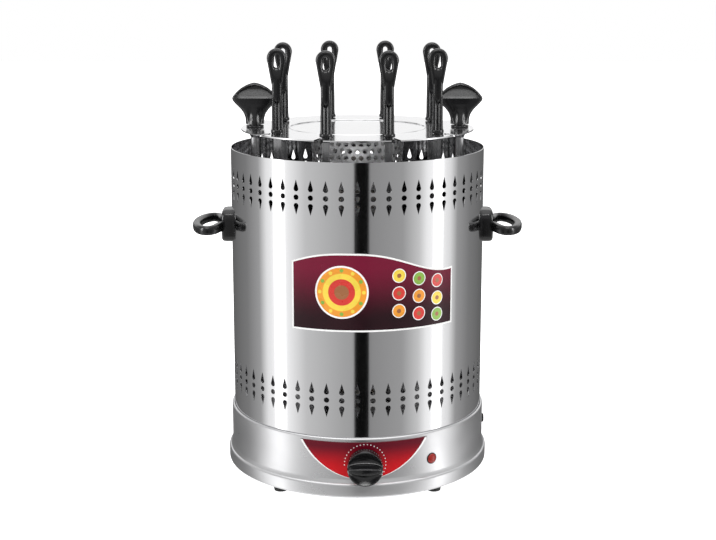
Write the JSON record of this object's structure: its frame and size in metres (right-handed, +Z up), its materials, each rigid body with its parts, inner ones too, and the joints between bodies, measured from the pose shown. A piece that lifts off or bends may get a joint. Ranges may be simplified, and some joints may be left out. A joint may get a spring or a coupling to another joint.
{
  "type": "electric skewer grill",
  "caption": "Upright round grill: a lift-off perforated steel shell, turning skewers hung from a slotted disc round a central heater, and a base with timer and lamp.",
  "frame": {"origin": "centre of the four feet, on the table", "axes": "+Z up along the shell's axis; the timer knob faces -Y; the cord inlet faces +X"},
  "size_m": [0.316, 0.2684, 0.4118],
  "materials": {
    "polished_steel": "polished, faint upright brushing",
    "blade_steel": "satin",
    "zinc_steel": "zinc plated",
    "black_bakelite": "moulded, semi-gloss",
    "black_rubber": "matt",
    "white_nylon": "moulded",
    "ceramic": "glazed ceramic",
    "quartz": "clear tube",
    "timer_case": "moulded",
    "motor_case": "plated can",
    "red_panel": "printed, glossy",
    "red_lens": "clear red",
    "label_foil": "printed foil"
  },
  "bodies": {
    "base": {"base_housing": "polished_steel", "bottom_plate": "zinc_steel", "bottom_screws": "zinc_steel", "rubber_feet": "black_rubber", "foot_screws": "zinc_steel", "deck_plate": "polished_steel", "drip_tray": "polished_steel", "guard_drum": "polished_steel", "heating_tubes": "quartz", "heater_base": "ceramic", "heater_top_holder": "ceramic", "top_disc": "polished_steel", "rack_posts": "polished_steel", "post_nuts": "zinc_steel", "gear_chassis": "zinc_steel", "chassis_pillars": "zinc_steel", "gear_pins": "zinc_steel", "motor": "motor_case", "motor_screws": "zinc_steel", "timer_body": "timer_case", "control_panel": "red_panel", "lamp_body": "timer_case", "indicator_lens": "red_lens", "cord_gland": "black_rubber", "terminal_block": "ceramic"},
    "shell": {"outer_shell": "polished_steel", "front_label": "label_foil", "side_handle_left": "black_bakelite", "side_handle_right": "black_bakelite", "handle_screws": "zinc_steel"},
    "sun": {"sun_gear": "white_nylon"},
    "motor_drive": {"motor_pinion": "white_nylon"},
    "timer_dial": {"timer_knob": "black_bakelite", "timer_shaft": "zinc_steel"},
    "tee_left": {"tee_knob_left": "black_bakelite"},
    "tee_right": {"tee_knob_right": "black_bakelite"},
    "socket_1": {"socket_gear_1": "white_nylon"},
    "skewer_1": {"skewer_blade_1": "blade_steel", "skewer_handle_1": "black_bakelite"},
    "socket_2": {"socket_gear_2": "white_nylon"},
    "skewer_2": {"skewer_blade_2": "blade_steel", "skewer_handle_2": "black_bakelite"},
    "socket_3": {"socket_gear_3": "white_nylon"},
    "skewer_3": {"skewer_blade_3": "blade_steel", "skewer_handle_3": "black_bakelite"},
    "socket_4": {"socket_gear_4": "white_nylon"},
    "skewer_4": {"skewer_blade_4": "blade_steel", "skewer_handle_4": "black_bakelite"},
    "socket_5": {"socket_gear_5": "white_nylon"},
    "skewer_5": {"skewer_blade_5": "blade_steel", "skewer_handle_5": "black_bakelite"},
    "socket_6": {"socket_gear_6": "white_nylon"},
    "skewer_6": {"skewer_blade_6": "blade_steel", "skewer_handle_6": "black_bakelite"},
    "socket_7": {"socket_gear_7": "white_nylon"},
    "skewer_7": {"skewer_blade_7": "blade_steel", "skewer_handle_7": "black_bakelite"},
    "socket_8": {"socket_gear_8": "white_nylon"},
    "skewer_8": {"skewer_blade_8": "blade_steel", "skewer_handle_8": "black_bakelite"}
  },
  "joints": [
    {"name": "shell_lift", "type": "slide", "parent": "base", "child": "shell", "axis": [0, 0, 1], "range_m": [0, 0.36]},
    {"name": "sun_spin", "type": "hinge", "parent": "base", "child": "sun", "pos_m": [0, 0, 0.058], "axis": [0, 0, 1], "continuous": true},
    {"name": "motor_spin", "type": "hinge", "parent": "base", "child": "motor_drive", "pos_m": [0.09, 0, 0.058], "axis": [0, 0, 1], "continuous": true},
    {"name": "timer_turn", "type": "hinge", "parent": "base", "child": "timer_dial", "pos_m": [0.007, -0.13, 0.044], "axis": [0, 1, 0], "range_deg": [0, 225]},
    {"name": "tee_left_turn", "type": "hinge", "parent": "base", "child": "tee_left", "pos_m": [-0.097, 0, 0.34], "axis": [0, 0, 1], "range_deg": [0, 720]},
    {"name": "tee_right_turn", "type": "hinge", "parent": "base", "child": "tee_right", "pos_m": [0.097, 0, 0.34], "axis": [0, 0, 1], "range_deg": [0, 720]},
    {"name": "socket_spin_1", "type": "hinge", "parent": "base", "child": "socket_1", "pos_m": [0.07281, 0.0529, 0.058], "axis": [0, 0, 1], "continuous": true},
    {"name": "skewer_lift_1", "type": "slide", "parent": "socket_1", "child": "skewer_1", "axis": [0, 0, 1], "range_m": [0, 0.3]},
    {"name": "socket_spin_2", "type": "hinge", "parent": "base", "child": "socket_2", "pos_m": [0.02781, 0.0856, 0.058], "axis": [0, 0, 1], "continuous": true},
    {"name": "skewer_lift_2", "type": "slide", "parent": "socket_2", "child": "skewer_2", "axis": [0, 0, 1], "range_m": [0, 0.3]},
    {"name": "socket_spin_3", "type": "hinge", "parent": "base", "child": "socket_3", "pos_m": [-0.02781, 0.0856, 0.058], "axis": [0, 0, 1], "continuous": true},
    {"name": "skewer_lift_3", "type": "slide", "parent": "socket_3", "child": "skewer_3", "axis": [0, 0, 1], "range_m": [0, 0.3]},
    {"name": "socket_spin_4", "type": "hinge", "parent": "base", "child": "socket_4", "pos_m": [-0.07281, 0.0529, 0.058], "axis": [0, 0, 1], "continuous": true},
    {"name": "skewer_lift_4", "type": "slide", "parent": "socket_4", "child": "skewer_4", "axis": [0, 0, 1], "range_m": [0, 0.3]},
    {"name": "socket_spin_5", "type": "hinge", "parent": "base", "child": "socket_5", "pos_m": [-0.07281, -0.0529, 0.058], "axis": [0, 0, 1], "continuous": true},
    {"name": "skewer_lift_5", "type": "slide", "parent": "socket_5", "child": "skewer_5", "axis": [0, 0, 1], "range_m": [0, 0.3]},
    {"name": "socket_spin_6", "type": "hinge", "parent": "base", "child": "socket_6", "pos_m": [-0.02781, -0.0856, 0.058], "axis": [0, 0, 1], "continuous": true},
    {"name": "skewer_lift_6", "type": "slide", "parent": "socket_6", "child": "skewer_6", "axis": [0, 0, 1], "range_m": [0, 0.3]},
    {"name": "socket_spin_7", "type": "hinge", "parent": "base", "child": "socket_7", "pos_m": [0.02781, -0.0856, 0.058], "axis": [0, 0, 1], "continuous": true},
    {"name": "skewer_lift_7", "type": "slide", "parent": "socket_7", "child": "skewer_7", "axis": [0, 0, 1], "range_m": [0, 0.3]},
    {"name": "socket_spin_8", "type": "hinge", "parent": "base", "child": "socket_8", "pos_m": [0.07281, -0.0529, 0.058], "axis": [0, 0, 1], "continuous": true},
    {"name": "skewer_lift_8", "type": "slide", "parent": "socket_8", "child": "skewer_8", "axis": [0, 0, 1], "range_m": [0, 0.3]}
  ],
  "couplings": [
    {"joint": "motor_spin", "follows": "sun_spin", "ratio": -3.5},
    {"joint": "socket_spin_1", "follows": "sun_spin", "ratio": -3.5},
    {"joint": "socket_spin_2", "follows": "sun_spin", "ratio": -3.5},
    {"joint": "socket_spin_3", "follows": "sun_spin", "ratio": -3.5},
    {"joint": "socket_spin_4", "follows": "sun_spin", "ratio": -3.5},
    {"joint": "socket_spin_5", "follows": "sun_spin", "ratio": -3.5},
    {"joint": "socket_spin_6", "follows": "sun_spin", "ratio": -3.5},
    {"joint": "socket_spin_7", "follows": "sun_spin", "ratio": -3.5},
    {"joint": "socket_spin_8", "follows": "sun_spin", "ratio": -3.5}
  ]
}
